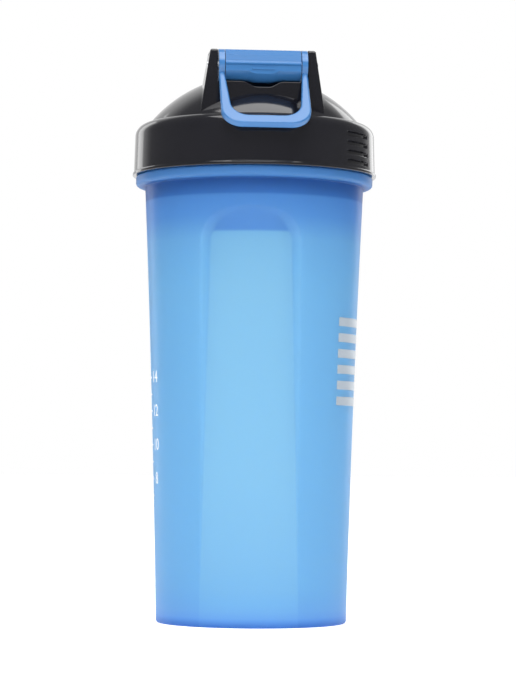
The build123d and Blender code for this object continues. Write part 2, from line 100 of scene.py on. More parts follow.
# grip panels on the front and the back of the cup
cup_turn = 6.8
panel_angles = (270 - cup_turn, 90 - cup_turn)
panel_top = 153.0
ramp_height = 10.0
panel_bottom = 20.0
panel_radius_top = 39.4
panel_radius_bottom = 38.15
ramp_radius_gain = 3.8
side_edge_half_width = 19.4
side_edge_depth = 38.1
side_slope = 1.85
side_spread = 0.067
top_slope = 1.2
panel_near = 34.0
panel_corner_near = 0.6
panel_corner_growth = 1.9
panel_edge_blend = 0.35      # how softly the panel runs into the body
panel_fade_height = 6.0      # over which the panel runs out at its foot
panel_side_angle = 31.0      # from a panel's middle to its sides, where the mesh is finer
panel_reach_angle = 62.0     # no part of a panel is further round than this
inner_panel_inset = wall * 1.07
inner_panel_growth = wall * 1.3
search_radii = (20.0, 60.0)  # a panel's outline is searched for between these
search_steps = 26

# rows of the cup's mesh, close together where it bends: first height, last height and count
body_rows = (
    (base_edge_height, 14.0, 6),
    (15.0, 28.0, 14),
    (30.0, 134.0, 44),
    (135.0, 172.6, 76),
)
inside_rows = (
    (mouth_bottom, 134.0, 32),
    (131.0, 34.0, 24),
    (30.0, floor_top + floor_corner_radius, 9),
)
under_row_radii = (0.0, 12.0, 22.0)
floor_row_radii = (24.0, 12.0, 0.0)
neck_foot_height = 1.0       # the rounding between flange and neck ends this far up
row_gap = 0.2                # between one stretch of rows and the next
rim_band_height = 0.6
throat_margin = 2.0
cup_columns = 300
fine_steps = 900             # points on a long arc, before rows are picked from it

# how pale the plastic is painted, by height: deep blue as painted shadow of the lid and of the dark
# strainer, where the strainer stands behind the wall, and darker towards the floor
tone_and_painted_shade_by_height = (
    (0.0, 0.0),
    (1.5, 0.10),
    (3.5, 0.40),
    (6.5, 0.54),
    (10.0, 0.60),
    (15.0, 0.655),
    (25.0, 0.68),
    (60.0, 0.70),
    (130.0, 0.68),
    (150.0, 0.60),
    (155.0, 0.48),
    (159.0, 0.38),
    (strainer_bottom - 0.2, 0.33),
    (strainer_bottom + 0.6, 0.13),
    (173.0, 0.03),
)
# painted light on the panels' flat faces, by height: how much paler they are, fading into the body
# near the foot
painted_panel_light = (
    (0.0, 0.03),
    (6.5, 0.06),
    (10.0, 0.09),
    (15.0, 0.13),
    (25.0, 0.16),
    (45.0, 0.20),
    (60.0, 0.22),
)
painted_ramp_shade = 0.34         # painted shade: the most paleness the ramp above a panel's face keeps
flange_paleness = 0.3
tone_edge = 0.1              # a panel's painted light starts this far outside its outline
tone_edge_width = 0.9
tone_overlap = 0.3           # how far the face's tone reaches up over the ramp
tone_step = 0.8

# thread
thread_pitch = 5.0
thread_turns = 1.25
thread_start = rim_height - 11.5
thread_half_root = 1.35
thread_half_crest = 0.6
cup_thread_depth = 1.3
lid_thread_depth = 1.3
lid_thread_drop = 2.1
thread_taper = 10.0          # degrees over which a ridge rises at its ends

# prints on the cup: a plain scale at the left of the hinge and plain bars at the right
print_lift = 0.03            # how far a print's underside stands off the wall
print_thickness = 0.06
scale_numbers = ((57.0, "8"), (70.3, "10"), (83.7, "12"), (97.0, "14"))
scale_angle = 192.5          # middle of the numbers
scale_tick_angles = (178.5, 184.5)
scale_tick_heights = np.linspace(50.3, 97.025, 8)
scale_tick_half_height = 0.35
number_size = 6.6
bar_angles = (319.0, 356.0)
bar_heights = np.linspace(88.0, 119.0, 6)
bar_half_height = 1.7

# lid
skirt_bottom = lid_low.z
skirt_inner_radius = 44.9
lip_radius = lid_high.x
lip_height = 1.0
lip_slope_height = 0.4
lip_corner_radii = (0.3, 0.3, 0.25)
ring_foot_height = 1.2       # the ring's own rows start this far above the lip
ring_radius_bottom = 48.3
ring_radius_top = 47.9
ring_corner_radius = 4.8
seal_seat_height = 196.2
collar_outer_radius = 39.2
collar_inner_radius = 37.4
collar_bottom = 187.0
collar_corner_radii = (0.4, 0.4, 0.3, 0.3)
seat_wall_height = 1.5       # plain wall between the seal's seat and the thread
skirt_foot_height = 0.5
dome_centre_height = 164.4
dome_radius = 54.46
dome_wall = 2.2
dome_foot_radius = 42.6
dome_foot_blend = 0.5
dome_first_angle = 1.2       # of the dome's first row above its foot, in degrees
dome_last_angle = 89.9       # of the last row round the middle point
shoulder_height = dome_centre_height + math.sqrt(dome_radius**2 - dome_foot_radius**2)

grip_angles = (-37.0, 143.0)
grip_arc = 19.0
groove_heights = (181.3, 184.9, 188.5, 192.1)
groove_half_width = 0.85
groove_depth = 0.9
groove_end_slope = 0.8       # degrees over which a groove runs out at its ends
groove_side_slope = 0.3
ring_row_spacing = 0.24
thread_row_spacing = 0.36
skirt_row_spacing = 0.4
lid_columns = 264

spout_y = span("spout_plug")[0].y / 2 + span("spout_plug")[1].y / 2
spout_radius = 9.0
spout_bore_radius = 6.5
spout_top = 221.3
spout_rim_radius = 0.9
spout_root_depth = 3.0       # how far the tube reaches down through the dome
bore_overshoot = 5.0

# hinge cheeks and the wall between them
rear_reach = 3.0
rear_y = hinge.y - rear_reach
cheek_front_y = hinge.y + 12.0
cheek_inner_x = 17.6
cheek_top_x = 20.65
cheek_foot_x = 25.0
cheek_foot_height = 195.0
cheek_front_angle = 35.0
cheek_edge_radius = 0.7
knuckle_radius = 6.2
cheek_crown_margin = 0.8     # the cheek's sloping side is measured to this far above the knuckle
cheek_crown_radius = 2.6
wall_front_y = hinge.y + 7.0
wall_top = hinge.z - 6.1
channel_radius = 7.0
lobe_channel_radius = 9.0
lobe_half_width = 8.0
lobe_flat_half_width = 2.4
wall_overlap = 0.3           # how far the wall reaches into the cheeks
wall_front_margin = 0.6
wall_edge_radius = 0.35

hair = 0.01                  # for telling whether two sizes are the same
same_place = 0.0001          # points closer than this are one point


# ------------------------------------------------------------------ outlines


def arc_through(first, middle, last, count):
    """Points on the circle through three points, from the first to the last."""
    (ax, ay), (bx, by), (cx, cy) = first, middle, last
    twice_area = 2 * (ax * (by - cy) + bx * (cy - ay) + cx * (ay - by))
    a2, b2, c2 = ax**2 + ay**2, bx**2 + by**2, cx**2 + cy**2
    centre_x = (a2 * (by - cy) + b2 * (cy - ay) + c2 * (ay - by)) / twice_area
    centre_y = (a2 * (cx - bx) + b2 * (ax - cx) + c2 * (bx - ax)) / twice_area
    start = math.atan2(ay - centre_y, ax - centre_x)
    turn = math.remainder(math.atan2(cy - centre_y, cx - centre_x) - start, math.tau)
    angles = start + turn * np.linspace(0, 1, count)
    radius = math.hypot(ax - centre_x, ay - centre_y)
    return [(centre_x + radius * math.cos(a), centre_y + radius * math.sin(a)) for a in angles]


def arc_about(centre, radius, first_degrees, last_degrees, count):
    """Points on an arc about a centre, between two angles in degrees."""
    angles = np.radians(np.linspace(first_degrees, last_degrees, count))
    return [(centre[0] + radius * math.cos(a), centre[1] + radius * math.sin(a)) for a in angles]


def along(first, last, spacing):
    """Points on a straight line, both ends included."""
    count = max(2, round(math.dist(first, last) / spacing) + 1)
    return [tuple(p) for p in np.linspace(first, last, count)]


def rounded(corners, sizes, count=5):
    """A polyline with its inner corners rounded to the sizes; None keeps a corner sharp."""
    points = [corners[0]]
    for before, corner, after, size in zip(corners, corners[1:], corners[2:], sizes):
        if not size:
            points.append(corner)
            continue
        here = Vector(corner)
        back = (Vector(before) - here).normalized()
        ahead = (Vector(after) - here).normalized()
        half = back.angle(ahead) / 2
        reach = size / math.tan(half)
        centre = here + (back + ahead).normalized() * (size / math.sin(half))
        start, end = here + back * reach, here + ahead * reach
        for share in np.linspace(0, 1, count):
            direction = (start - centre).lerp(end - centre, share).normalized()
            points.append(tuple(centre + direction * size))
    return points + [corners[-1]]


def without_repeats(points):
    """The points, without those that repeat the one before."""
    kept = [points[0]]
    for point in points[1:]:
        if math.dist(point, kept[-1]) > same_place:
            kept.append(point)
    return kept


def columns(count, dense_at=(), width=1.0, gain=0.0):
    """Angles in degrees round a full turn, closer together near the given angles."""
    fine = np.linspace(0, 360, 7201)
    density = np.ones_like(fine)
    for angle in dense_at:
        density += gain * np.exp(-((away_from(fine, angle) / width) ** 2))
    total = np.concatenate([[0], np.cumsum((density[1:] + density[:-1]) / 2)])
    return np.interp(np.linspace(0, total[-1], count + 1)[:-1], total, fine)


def at_heights(arc, heights):
    """The arc's points at the given heights."""
    radii, places = zip(*arc)
    return [(float(np.interp(z, places, radii)), float(z)) for z in heights]


def away_from(angles, angle):
    """How far each angle is from one angle, from -180 to 180 degrees."""
    return np.remainder(angles - angle + 180, 360) - 180


def soft_max(a, b, blend):
    """The larger of two values, with a smooth change over."""
    share = np.clip(0.5 + 0.5 * (a - b) / blend, 0, 1)
    return b + (a - b) * share + blend * share * (1 - share)


# ------------------------------------------------------------------ making meshes


def new_piece(name, vertices, faces, smooth_angle=40.0):
    """An object from points in millimetres, smooth except at edges sharper than the angle."""
    mesh = bpy.data.meshes.new(name)
    mesh.from_pydata([tuple(np.asarray(v, float) * MM) for v in vertices], [], faces)
    mesh.validate()
    piece = bpy.data.objects.new(name, mesh)
    bpy.context.scene.collection.objects.link(piece)
    outward(piece)
    shade(piece, smooth_angle)
    return piece


def outward(piece):
    """Turns all faces of a piece to face out."""
    build = bmesh.new()
    build.from_mesh(piece.data)
    bmesh.ops.recalc_face_normals(build, faces=build.faces)
    build.to_mesh(piece.data)
    build.free()


def shade(piece, smooth_angle):
    """Smooth shading, except at edges sharper than the angle."""
    piece.data.shade_smooth()
    piece.data.set_sharp_from_angle(angle=math.radians(smooth_angle))


def apply_modifiers(piece):
    """Makes a piece's modifiers part of its mesh."""
    evaluated = piece.evaluated_get(bpy.context.evaluated_depsgraph_get())
    mesh = bpy.data.meshes.new_from_object(evaluated)
    piece.modifiers.clear()
    piece.data = mesh


def bevel(piece, width):
    """Rounds the sharp edges of a piece."""
    modifier = piece.modifiers.new("edges", "BEVEL")
    modifier.width = width * MM
    modifier.segments = 4
    modifier.limit_method = "ANGLE"
    modifier.angle_limit = math.radians(32)
    modifier.harden_normals = True
    apply_modifiers(piece)


def cut(piece, *cutters):
    """Takes the cutters out of a piece and removes them."""
    for cutter in cutters:
        modifier = piece.modifiers.new("cut", "BOOLEAN")
        modifier.operation = "DIFFERENCE"
        modifier.solver = "EXACT"
        modifier.object = cutter
    apply_modifiers(piece)
    for cutter in cutters:
        bpy.data.objects.remove(cutter)


def turned(name, radii, heights, angles, smooth_angle=40.0):
    """A turned piece: one ring of radii for each height. Rings of no radius become one point."""
    vertices, rings = [], []
    for ring, height in zip(radii, heights):
        if np.max(ring) < hair:
            rings.append([len(vertices)])
            vertices.append((0, 0, height))
            continue
        rings.append(list(range(len(vertices), len(vertices) + len(angles))))
        turn = np.radians(angles)
        xs, ys = ring * np.cos(turn), ring * np.sin(turn)
        vertices.extend(np.column_stack([xs, ys, np.full(len(angles), height)]))
    faces = []
    for lower, upper in zip(rings, rings[1:] + rings[:1]):
        if len(lower) == len(upper) == 1:
            continue
        for i in range(len(angles)):
            j = (i + 1) % len(angles)
            a, b = lower[i % len(lower)], lower[j % len(lower)]
            c, d = upper[j % len(upper)], upper[i % len(upper)]
            faces.append(list(dict.fromkeys((a, b, c, d))))
    return new_piece(name, vertices, faces, smooth_angle)


def turned_simply(name, outline, count, centre):
    """A turned piece with a round section, about an upright line."""
    angles = columns(count)
    rings = [np.full(count, radius) for radius, _ in outline]
    piece = turned(name, rings, [height for _, height in outline], angles)
    for vertex in piece.data.vertices:
        vertex.co.x += centre[0] * MM
        vertex.co.y += centre[1] * MM
    return piece


def lofted(name, sections, smooth_angle=40.0):
    """A solid through closed sections that have the same number of points."""
    count = len(sections[0])
    vertices = [point for section in sections for point in section]
    faces = [list(range(count))]
    for row in range(len(sections) - 1):
        for i in range(count):
            j = (i + 1) % count
            low, high = row * count, (row + 1) * count
            faces.append([low + i, low + j, high + j, high + i])
    faces.append([(len(sections) - 1) * count + i for i in range(count)])
    return new_piece(name, vertices, faces, smooth_angle)


# ------------------------------------------------------------------ materials

# blues of the cup, from deep to pale: of its surface and of the light that comes through the wall
surface_blues = ((0.02, 0.13, 0.48), (0.11, 0.34, 0.74), (0.23, 0.55, 0.82), (0.36, 0.68, 0.84))
passed_blues = ((0.15, 0.37, 0.72), (0.33, 0.58, 0.87), (0.50, 0.75, 0.91), (0.62, 0.82, 0.92))
light_through = 0.6          # share of the cup's light that comes through the wall
cloud_depth = 0.008          # how much the cup's tone drifts at random, on top of its painted light and shade
grain_depth = 0.01
# Each roughness range below stays on one side of 0.274: a range that crosses it shows the noise's
# outlines as crisp patches when the render is denoised.


def start_material(name):
    """A new material with its nodes, its Principled shader and its object coordinates."""
    material = bpy.data.materials.new(name)
    material.use_nodes = True
    nodes = material.node_tree.nodes
    place = nodes.new("ShaderNodeTexCoord").outputs["Object"]
    return material, nodes, material.node_tree.links, nodes["Principled BSDF"], place


def noise(nodes, links, place, scale, detail=3.0):
    """A noise texture in object space; scale is in waves per metre."""
    texture = nodes.new("ShaderNodeTexNoise")
    texture.inputs["Scale"].default_value = scale
    texture.inputs["Detail"].default_value = detail
    links.new(place, texture.inputs["Vector"])
    return texture.outputs["Fac"]


def between(nodes, links, value, low, high):
    """A value from 0.3 to 0.7, as noise gives, mapped to a range."""
    mapping = nodes.new("ShaderNodeMapRange")
    mapping.inputs["From Min"].default_value = 0.3
    mapping.inputs["From Max"].default_value = 0.7
    mapping.inputs["To Min"].default_value = low
    mapping.inputs["To Max"].default_value = high
    links.new(value, mapping.inputs["Value"])
    return mapping.outputs["Result"]


def blend_colours(nodes, links, share, first, second):
    """A colour between two, by a share."""
    mix = nodes.new("ShaderNodeMix")
    mix.data_type = "RGBA"
    links.new(share, mix.inputs["Factor"])
    mix.inputs["A"].default_value = (*first, 1)
    mix.inputs["B"].default_value = (*second, 1)
    return mix.outputs["Result"]


def bump(nodes, links, height, strength, distance):
    """A normal from a height; distance is in millimetres."""
    node = nodes.new("ShaderNodeBump")
    node.inputs["Strength"].default_value = strength
    node.inputs["Distance"].default_value = distance * MM
    links.new(height, node.inputs["Height"])
    return node.outputs["Normal"]


def moulded(name, dark, light, roughness, wave_depth=0.0):
    """Moulded plastic: slight colour drift, uneven gloss, and a fine grain over slow waves."""
    material, nodes, links, shader, place = start_material(name)
    drift = noise(nodes, links, place, 30.0)
    colour = blend_colours(nodes, links, between(nodes, links, drift, 0, 1), dark, light)
    links.new(colour, shader.inputs["Base Color"])
    gloss = noise(nodes, links, place, 140.0, 4.0)
    links.new(between(nodes, links, gloss, *roughness), shader.inputs["Roughness"])
    normal = bump(nodes, links, noise(nodes, links, place, 900.0, 2.0), 0.25, grain_depth)
    if wave_depth:
        slow = bump(nodes, links, noise(nodes, links, place, 45.0, 1.0), 1.0, wave_depth)
        links.new(slow, normal.node.inputs["Normal"])
    links.new(normal, shader.inputs["Normal"])
    return material


def colour_ramp(nodes, links, value, colours):
    """Colours from several, evenly spaced along a value from 0 to 1."""
    ramp = nodes.new("ShaderNodeValToRGB")
    stops = ramp.color_ramp.elements
    stops[0].color = (*colours[0], 1)
    stops[1].color = (*colours[-1], 1)
    for place in range(1, len(colours) - 1):
        stops.new(place / (len(colours) - 1)).color = (*colours[place], 1)
    links.new(value, ramp.inputs["Fac"])
    return ramp.outputs["Color"]


def frosted_blue(name):
    """Translucent blue polypropylene, coloured by the stored painted light and shade: painted shade
    where little light gets in, painted light in the panels.
    """
    material, nodes, links, shader, place = start_material(name)
    painted_light_and_shade_node = nodes.new("ShaderNodeAttribute")
    painted_light_and_shade_node.attribute_name = "painted_light_and_shade"
    # the painted light and shade, plus a small random drift of tone
    drift = nodes.new("ShaderNodeMath")
    drift.operation = "ADD"
    links.new(painted_light_and_shade_node.outputs["Fac"], drift.inputs[0])
    clouds = noise(nodes, links, place, 22.0)
    links.new(between(nodes, links, clouds, -cloud_depth, cloud_depth), drift.inputs[1])
    surface = colour_ramp(nodes, links, drift.outputs["Value"], surface_blues)
    passed = colour_ramp(nodes, links, drift.outputs["Value"], passed_blues)
    links.new(surface, shader.inputs["Base Color"])
    gloss = noise(nodes, links, place, 160.0, 4.0)
    links.new(between(nodes, links, gloss, 0.285, 0.34), shader.inputs["Roughness"])
    normal = bump(nodes, links, noise(nodes, links, place, 1100.0, 2.0), 0.1, grain_depth)
    links.new(normal, shader.inputs["Normal"])
    through = nodes.new("ShaderNodeBsdfTranslucent")
    links.new(passed, through.inputs["Color"])
    mix = nodes.new("ShaderNodeMixShader")
    mix.inputs["Fac"].default_value = light_through
    links.new(shader.outputs["BSDF"], mix.inputs[1])
    links.new(through.outputs["BSDF"], mix.inputs[2])
    links.new(mix.outputs["Shader"], nodes["Material Output"].inputs["Surface"])
    return material


def drawn_steel(name):
    """Stainless wire: bright metal with fine marks along it."""
    material, nodes, links, shader, place = start_material(name)
    stretch = nodes.new("ShaderNodeMapping")
    stretch.inputs["Scale"].default_value = (0.08, 1, 1)
    links.new(place, stretch.inputs["Vector"])
    marks = noise(nodes, links, stretch.outputs["Vector"], 3000.0, 4.0)
    colour = blend_colours(nodes, links, marks, (0.46, 0.47, 0.49), (0.68, 0.69, 0.70))
    links.new(colour, shader.inputs["Base Color"])
    links.new(between(nodes, links, marks, 0.28, 0.38), shader.inputs["Roughness"])
    shader.inputs["Metallic"].default_value = 1.0
    return material


def give(piece, material):
    """Makes this a piece's only material."""
    piece.data.materials.clear()
    piece.data.materials.append(material)


def give_node(node, material):
    """Gives a carried-over CAD node a better material, in its own material slot."""
    for holder in frame["nodes"][node].material_slots:
        holder.material = material


blue_cup = frosted_blue("frosted_blue")
black_gloss = moulded(
    "gloss_black", (0.006, 0.006, 0.009), (0.009, 0.009, 0.012), (0.08, 0.13), wave_depth=0.02
)
black_satin = moulded("satin_black", (0.012, 0.012, 0.015), (0.02, 0.02, 0.024), (0.35, 0.45))
blue_satin = moulded("satin_blue", (0.036, 0.15, 0.37), (0.041, 0.16, 0.39), (0.24, 0.268))
silicone = moulded("milky_silicone", (0.74, 0.77, 0.79), (0.82, 0.84, 0.86), (0.42, 0.55))
black_rubber = moulded("black_rubber", (0.02, 0.02, 0.022), (0.035, 0.035, 0.04), (0.55, 0.7))
steel = drawn_steel("drawn_steel")
white_print = moulded("white_print", (0.80, 0.83, 0.86), (0.86, 0.88, 0.90), (0.50, 0.60))
silver_print = moulded("silver_print", (0.30, 0.36, 0.42), (0.36, 0.41, 0.46), (0.35, 0.45))


# ------------------------------------------------------------------ camera and studio

# the room's light grows between two values of a direction's Y, from the first level to the second
behind_light = (0.5, 0.8, 0.28, 1.0)
floor_half = 6000.0
floor_glow = 0.72

camera_swing = 5.2           # degrees off the line straight behind the hinge
camera_roll = 0.45
camera_distance = 1000.0
camera_height = 67.6
aim_height = 111.0
aim_right = 2.0              # how far right of the bottle's middle the camera aims
lens_length = 130.8

# softboxes: name, place and size in metres, and power in watts
lamp_target = (0, 0, 0.12)
lamps = (
    ("left_softbox", (-0.62, 0.9, 0.35), (0.30, 1.0), 1.4),
    ("right_softbox", (0.62, 0.9, 0.35), (0.30, 1.0), 1.4),
    ("top_softbox", (0.0, -0.25, 1.0), (0.8, 0.7), 7.5),
    ("front_fill", (-0.2, -1.15, 1.3), (1.2, 0.7), 15.0),
)


def camera():
    """The camera stands low, nearly straight behind the hinge."""
    swing = math.radians(camera_swing)
    sight = Vector((math.sin(swing), math.cos(swing), 0))
    right = Vector((math.cos(swing), -math.sin(swing), 0))
    lens = bpy.data.cameras.new("camera")
    lens.lens = lens_length
    lens.sensor_width = 36.0
    lens.clip_end = 50.0
    holder = bpy.data.objects.new("camera", lens)
    bpy.context.scene.collection.objects.link(holder)
    place = -sight * camera_distance + Vector((0, 0, camera_height))
    target = right * aim_right + Vector((0, 0, aim_height))
    holder.location = place * MM
    holder.rotation_mode = "QUATERNION"
    roll = Quaternion((0, 0, 1), math.radians(camera_roll))
    holder.rotation_quaternion = (target - place).to_track_quat("-Z", "Y") @ roll
    bpy.context.scene.camera = holder


def softbox(name, place, size, power):
    """A soft rectangular lamp that faces the bottle."""
    lamp = bpy.data.lights.new(name, "AREA")
    lamp.shape = "RECTANGLE"
    lamp.size, lamp.size_y = size
    lamp.energy = power
    holder = bpy.data.objects.new(name, lamp)
    holder.location = place
    holder.rotation_mode = "QUATERNION"
    holder.rotation_quaternion = (Vector(lamp_target) - Vector(place)).to_track_quat("-Z", "Y")
    bpy.context.scene.collection.objects.link(holder)


def surroundings():
    """White to look at; as light, a room that is bright only behind the bottle."""
    world = bpy.data.worlds.new("studio")
    bpy.context.scene.world = world
    world.use_nodes = True
    nodes, links = world.node_tree.nodes, world.node_tree.links
    nodes.clear()
    direction = nodes.new("ShaderNodeTexCoord").outputs["Generated"]
    split = nodes.new("ShaderNodeSeparateXYZ")
    links.new(direction, split.inputs["Vector"])
    level = nodes.new("ShaderNodeMapRange")
    level.interpolation_type = "SMOOTHSTEP"
    for socket, value in zip(("From Min", "From Max", "To Min", "To Max"), behind_light):
        level.inputs[socket].default_value = value
    links.new(split.outputs["Y"], level.inputs["Value"])
    as_light = nodes.new("ShaderNodeBackground")
    as_light.inputs["Color"].default_value = (1, 1, 1, 1)
    links.new(level.outputs["Result"], as_light.inputs["Strength"])
    as_seen = nodes.new("ShaderNodeBackground")
    as_seen.inputs["Color"].default_value = (1, 1, 1, 1)
    path = nodes.new("ShaderNodeLightPath")
    mix = nodes.new("ShaderNodeMixShader")
    links.new(path.outputs["Is Camera Ray"], mix.inputs["Fac"])
    links.new(as_light.outputs["Background"], mix.inputs[1])
    links.new(as_seen.outputs["Background"], mix.inputs[2])
    out = nodes.new("ShaderNodeOutputWorld")
    links.new(mix.outputs["Shader"], out.inputs["Surface"])


def studio():
    """Pale floor, two softboxes behind the sides, one overhead, a fill, a plain view transform."""
    corners = [(x * floor_half, y * floor_half, 0) for x, y in ((-1, -1), (1, -1), (1, 1), (-1, 1))]
    ground = new_piece("floor", corners, [[0, 1, 2, 3]])
    material, nodes, links, shader, place = start_material("pale_floor")
    tone = between(nodes, links, noise(nodes, links, place, 3.0), 0, 1)
    links.new(
        blend_colours(nodes, links, tone, (0.90, 0.90, 0.90), (0.92, 0.92, 0.92)),
        shader.inputs["Base Color"],
    )
    shader.inputs["Roughness"].default_value = 0.6
    shader.inputs["Emission Color"].default_value = (1, 1, 1, 1)
    shader.inputs["Emission Strength"].default_value = floor_glow
    give(ground, material)
    for lamp in lamps:
        softbox(*lamp)
    surroundings()
    bpy.context.scene.view_settings.view_transform = "Standard"


camera()
studio()


# ------------------------------------------------------------------ cup


def outside_panel(distance, sideways, height, grow):
    """How far a point is outside a panel's outline at this distance; below 0 it is inside."""
    top = panel_top + ramp_height + (distance - shoulder_radius) * top_slope + grow
    half = side_edge_half_width + (distance - side_edge_depth) * side_slope + grow
    half = half + (top - height) * side_spread
    corner = np.maximum(panel_corner_near + panel_corner_growth * (distance - panel_near), 0)
    dx = np.abs(sideways) - half + corner
    dz = height - top + corner
    outside = np.hypot(np.maximum(dx, 0), np.maximum(dz, 0))
    return outside + np.minimum(np.maximum(dx, dz), 0) - corner


def panelled(body, height, angles, inset=0.0, grow=0.0):
    """The body's radius at each angle, less what the two grip panels take."""
    rise = np.clip(height - panel_bottom, 0, None) / (panel_top - panel_bottom)
    face = panel_radius_bottom + (panel_radius_top - panel_radius_bottom) * min(rise, 1.0)
    face += max(height - panel_top, 0) / ramp_height * ramp_radius_gain
    face -= inset
    result = np.full(len(angles), body)
    for panel in panel_angles:
        turn = np.radians(np.clip(away_from(angles, panel), -panel_reach_angle, panel_reach_angle))
        low, high = (np.full(len(angles), radius) for radius in search_radii)
        for _ in range(search_steps):
            middle = (low + high) / 2
            inside = outside_panel(middle * np.cos(turn), middle * np.sin(turn), height, grow) < 0
            high = np.where(inside, middle, high)
            low = np.where(inside, low, middle)
        floor = soft_max(np.full(len(angles), face), high, panel_edge_blend)
        result = -soft_max(-result, -floor, panel_edge_blend)
    fade = np.clip((height - panel_bottom + panel_fade_height) / panel_fade_height, 0, 1)
    return body + (np.minimum(result, body) - body) * fade if fade > 0 else np.full(len(angles), body)


def ridge(height, angles, first_height):
    """How much of a thread's ridge there is at each angle, from 0 to 1."""
    amount = np.zeros(len(angles))
    for turn in range(math.ceil(thread_turns)):
        travelled = angles + 360 * turn
        left = 360 * thread_turns - travelled
        middle = first_height + thread_pitch * travelled / 360
        side = (thread_half_root - np.abs(height - middle)) / (thread_half_root - thread_half_crest)
        ends = np.clip(np.minimum(travelled, left) / thread_taper, 0, 1)
        amount = np.maximum(amount, np.clip(side, 0, 1) * ends)
    return amount


def cup_rows():
    """The cup's section from the middle of its underside to the middle of its floor."""
    under = rounded(
        [
            (0, foot_recess),
            (foot_inner_radius - foot_recess, foot_recess),
            (foot_inner_radius, 0.0),
            (foot_outer_radius, 0.0),
        ],
        (foot_corner_radius, foot_corner_radius),
    )
    under = [(radius, foot_recess) for radius in under_row_radii] + under[1:]
    edge_middle = (
        foot_outer_radius + (base_radius - foot_outer_radius) * math.sin(math.radians(45)),
        base_edge_height * (1 - math.cos(math.radians(45))),
    )
    edge = arc_through(
        (foot_outer_radius, 0.0), edge_middle, (base_radius, base_edge_height), 9
    )
    body = at_heights(
        arc_through(
            (base_radius, base_edge_height), waist, (shoulder_radius, flange_bottom), fine_steps
        ),
        np.concatenate([np.linspace(*rows) for rows in body_rows]),
    )
    flange = rounded(
        [
            (shoulder_radius, flange_bottom - 0.8),
            (shoulder_radius, flange_bottom),
            (flange_radius, flange_bottom + flange_draft),
            (flange_radius, flange_top),
            (neck_radius, flange_top),
            (neck_radius, flange_top + neck_foot_height),
        ],
        (flange_root_radius, flange_edge_radius, flange_top_edge_radius, neck_root_radius),
        7,
    )
    neck = along(
        (neck_radius, flange_top + neck_foot_height + row_gap),
        (neck_radius, rim_height - rim_radius),
        thread_row_spacing,
    )
    rim = rounded(
        [
            (neck_radius, rim_height - rim_band_height),
            (neck_radius, rim_height),
            (mouth_radius, rim_height),
            (mouth_radius, rim_height - rim_band_height),
        ],
        (rim_radius, rim_radius),
    )
    inner_foot = (base_radius - wall, floor_top + floor_corner_radius)
    inner = at_heights(
        arc_through(
            inner_foot, (waist[0] - wall, waist[1]), (mouth_radius, mouth_bottom), fine_steps
        ),
        np.concatenate([np.linspace(*rows) for rows in inside_rows]),
    )
    throat = along(
        (mouth_radius, rim_height - throat_margin), (mouth_radius, mouth_bottom + throat_margin), 4.0
    )
    corner = arc_about(
        (inner_foot[0] - floor_corner_radius, inner_foot[1]), floor_corner_radius, -8, -90, 7
    )
    floor = [(radius, floor_top) for radius in floor_row_radii]
    outer = without_repeats(under + edge + body + flange + neck + rim)
    inside = without_repeats(throat + inner + corner + floor)
    return outer, inside


def painted_light_and_shade(x, y, z):
    """Painted light and shade on the cup at its points, from 0 (deep blue, painted shade) to 1 (pale,
    painted light).
    """
    result = np.interp(z, *zip(*tone_and_painted_shade_by_height))
    radius = np.hypot(x, y)
    turn = np.degrees(np.arctan2(y, x))
    for panel in panel_angles:
        away = np.radians(away_from(turn, panel))
        outside = outside_panel(radius * np.cos(away), radius * np.sin(away), z, 0.0)
        inside = np.clip((tone_edge - outside) / tone_edge_width, 0, 1) * (np.cos(away) > 0)
        on_face = inside * np.clip((panel_top + tone_overlap - z) / tone_step, 0, 1)
        on_ramp = inside * np.clip((z - panel_top) / tone_step, 0, 1)
        # painted light on a panel's flat face, and painted shade held on its ramp
        result = result + np.interp(z, *zip(*painted_panel_light)) * on_face
        result = result + (np.minimum(result, painted_ramp_shade) - result) * on_ramp
    return np.where(radius > shoulder_radius + 1.0, flange_paleness, np.clip(result, 0, 1))


def make_cup():
    """The cup: panelled body, flange, threaded neck, hollow inside with its own panels."""
    sides = [panel + side for panel in panel_angles for side in (-panel_side_angle, panel_side_angle)]
    angles = columns(cup_columns, sides, width=9.0, gain=2.6)
    outer, inside = cup_rows()
    radii, heights = [], []
    for radius, height in outer:
        ring = np.full(len(angles), radius)
        on_body = base_edge_height <= height < flange_bottom - flange_root_radius
        if on_body and radius > base_radius - hair:
            ring = panelled(radius, height, angles)
        elif height > flange_top + neck_foot_height + row_gap / 2 and radius > neck_radius - hair:
            ring = ring + cup_thread_depth * ridge(height, angles, thread_start)
        radii.append(ring)
        heights.append(height)
    for radius, height in inside:
        ring = np.full(len(angles), radius)
        if floor_top + floor_corner_radius < height <= mouth_bottom:
            ring = panelled(radius, height, angles, inner_panel_inset, inner_panel_growth)
        radii.append(ring)
        heights.append(height)
    piece = turned("cup_shell", radii, heights, angles, 50.0)
    points = np.array([vertex.co for vertex in piece.data.vertices]) / MM
    # painted light and shade, stored at each point for the cup's material
    values = piece.data.attributes.new("painted_light_and_shade", "FLOAT", "POINT")
    values.data.foreach_set("value", painted_light_and_shade(*points.T).astype(np.float32))
    give(piece, blue_cup)
    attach(piece, "cup")
    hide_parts("cup")


def wrapped(angle, height, lift):
    """A point on the cup's round body, lifted off it; the angle is in degrees."""
    body = arc_through(
        (base_radius, base_edge_height), waist, (shoulder_radius, flange_bottom), 120
    )
    radii, heights = zip(*body)
    radius = float(np.interp(height, heights, radii)) + lift
    turn = math.radians(angle)
    return (radius * math.cos(turn), radius * math.sin(turn), height)


